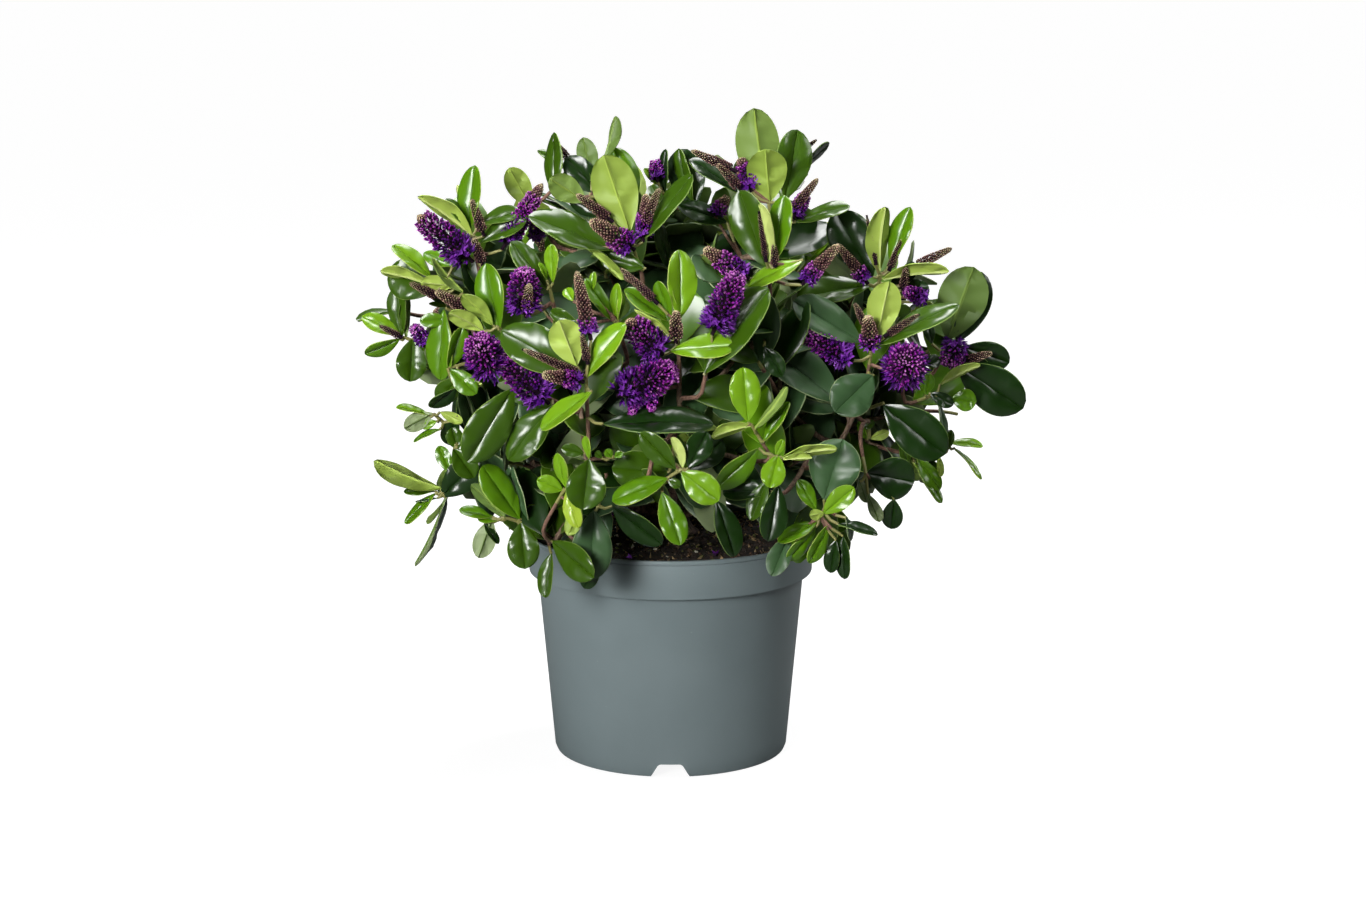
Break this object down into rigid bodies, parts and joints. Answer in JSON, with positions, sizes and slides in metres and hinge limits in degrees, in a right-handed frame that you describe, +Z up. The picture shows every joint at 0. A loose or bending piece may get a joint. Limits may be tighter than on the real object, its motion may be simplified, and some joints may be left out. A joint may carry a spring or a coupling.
{
  "type": "potted hebe shrub",
  "caption": "Flowering evergreen shrub with glossy oval leaves and purple flower spikes, growing in a round plastic nursery pot.",
  "frame": {"origin": "centre of the pot's flat underside, on the ground", "axes": "+Z up; -Y is the side the plant is seen from, with +X to the right of it"},
  "size_m": [0.4359, 0.3864, 0.4223],
  "materials": {
    "pot": "satin",
    "compost": "matte",
    "bark": "matte",
    "foliage": "satin"
  },
  "bodies": {
    "root": {"pot": "pot", "compost": "compost", "stem": "bark", "bough_crest_left": "bark", "bough_crest_right": "bark", "bough_crest_back": "bark", "bough_shoulder_front_left": "bark", "bough_shoulder_front_right": "bark", "bough_shoulder_right": "bark", "bough_shoulder_back_right": "bark", "bough_shoulder_back_left": "bark", "bough_shoulder_left": "bark", "bough_skirt_front": "bark", "bough_skirt_front_right": "bark", "bough_skirt_right": "bark", "bough_skirt_back_right": "bark", "bough_skirt_back": "bark", "bough_skirt_back_left": "bark", "bough_skirt_left": "bark", "bough_skirt_front_left": "bark", "leaves_crest_left": "foliage", "leaves_crest_right": "foliage", "leaves_crest_back": "foliage", "leaves_shoulder_front_left": "foliage", "leaves_shoulder_front_right": "foliage", "leaves_shoulder_right": "foliage", "leaves_shoulder_back_right": "foliage", "leaves_shoulder_back_left": "foliage", "leaves_shoulder_left": "foliage", "leaves_skirt_front": "foliage", "leaves_skirt_front_right": "foliage", "leaves_skirt_right": "foliage", "leaves_skirt_back_right": "foliage", "leaves_skirt_back": "foliage", "leaves_skirt_back_left": "foliage", "leaves_skirt_left": "foliage", "leaves_skirt_front_left": "foliage"}
  },
  "joints": []
}
